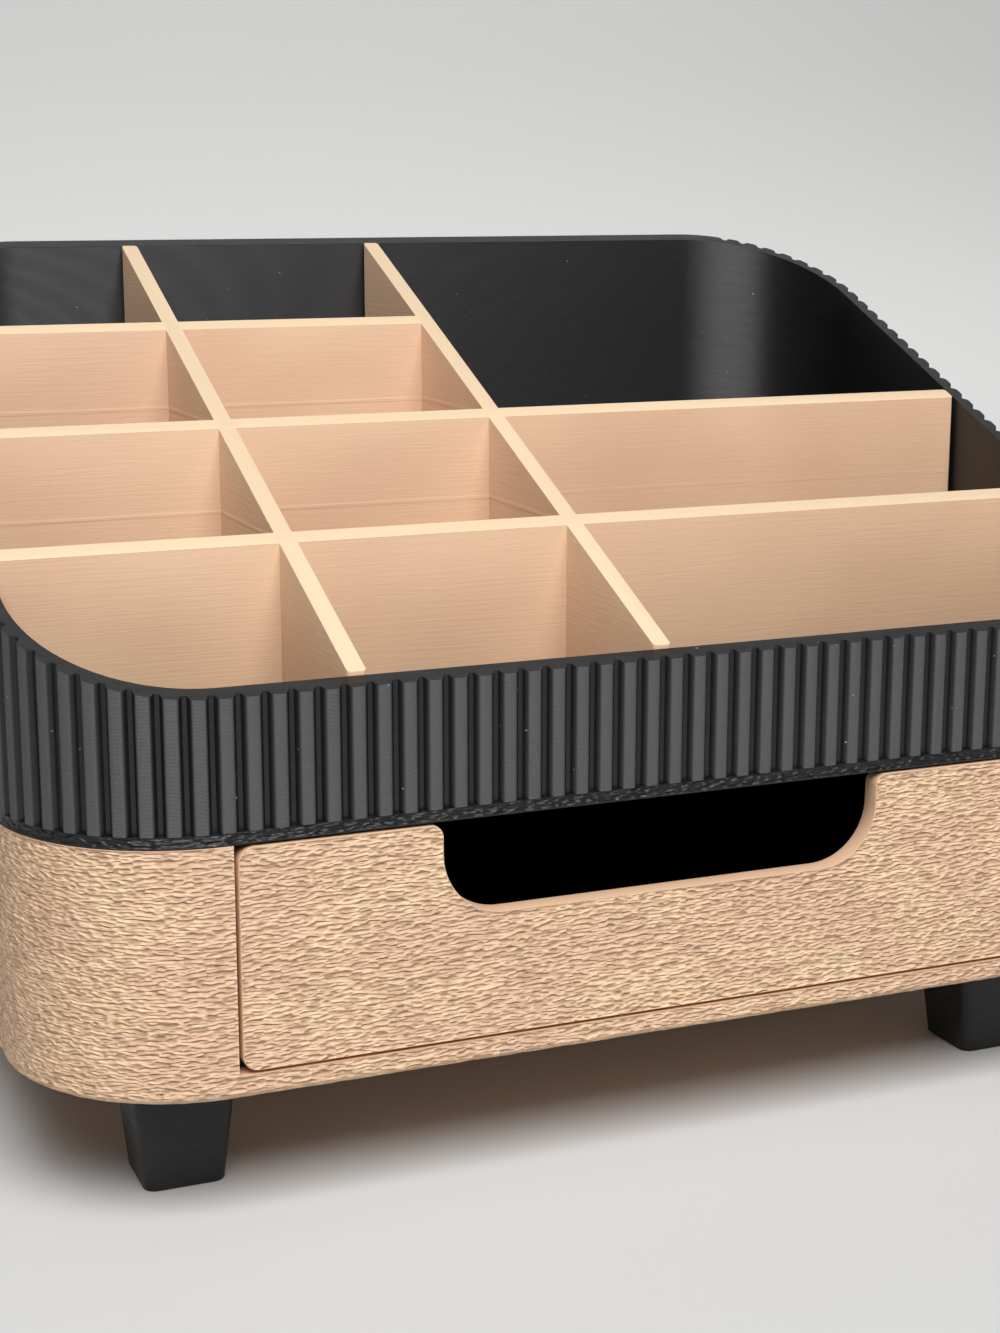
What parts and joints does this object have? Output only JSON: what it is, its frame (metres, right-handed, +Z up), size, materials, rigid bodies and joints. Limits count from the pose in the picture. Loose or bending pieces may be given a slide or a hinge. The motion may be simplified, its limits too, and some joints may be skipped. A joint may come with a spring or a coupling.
{
  "type": "makeup organizer with drawer",
  "caption": "Desktop makeup organizer on tapered feet: ribbed tray with a sloped rim and a drop-in divider grid, over a rounded base with a pull-out drawer.",
  "frame": {"origin": "middle of the body's plan, on the surface under the feet", "axes": "+X right, +Y to the back, +Z up; the drawer opens towards -Y"},
  "size_m": [0.2, 0.142, 0.142],
  "materials": {
    "tan_textured": "matte with a fine rough skin",
    "tan_smooth": "matte with fine layer lines",
    "black_ribbed": "matte, slightly satin",
    "black_plain": "matte",
    "black_satin": "satin"
  },
  "bodies": {
    "housing": {"base_housing": "tan_textured", "tray": "black_ribbed", "foot_front_left": "black_satin", "foot_front_right": "black_satin", "foot_rear_left": "black_satin", "foot_rear_right": "black_satin"},
    "drawer": {"drawer_tub": "black_plain", "drawer_front": "tan_textured"},
    "divider_insert": {"divider_grid": "tan_smooth"}
  },
  "joints": [
    {"name": "drawer_slide", "type": "slide", "parent": "housing", "child": "drawer", "axis": [0, -1, 0], "range_m": [0, 0.1]},
    {"name": "divider_lift", "type": "slide", "parent": "housing", "child": "divider_insert", "axis": [0, 0, 1], "range_m": [0, 0.085]}
  ]
}
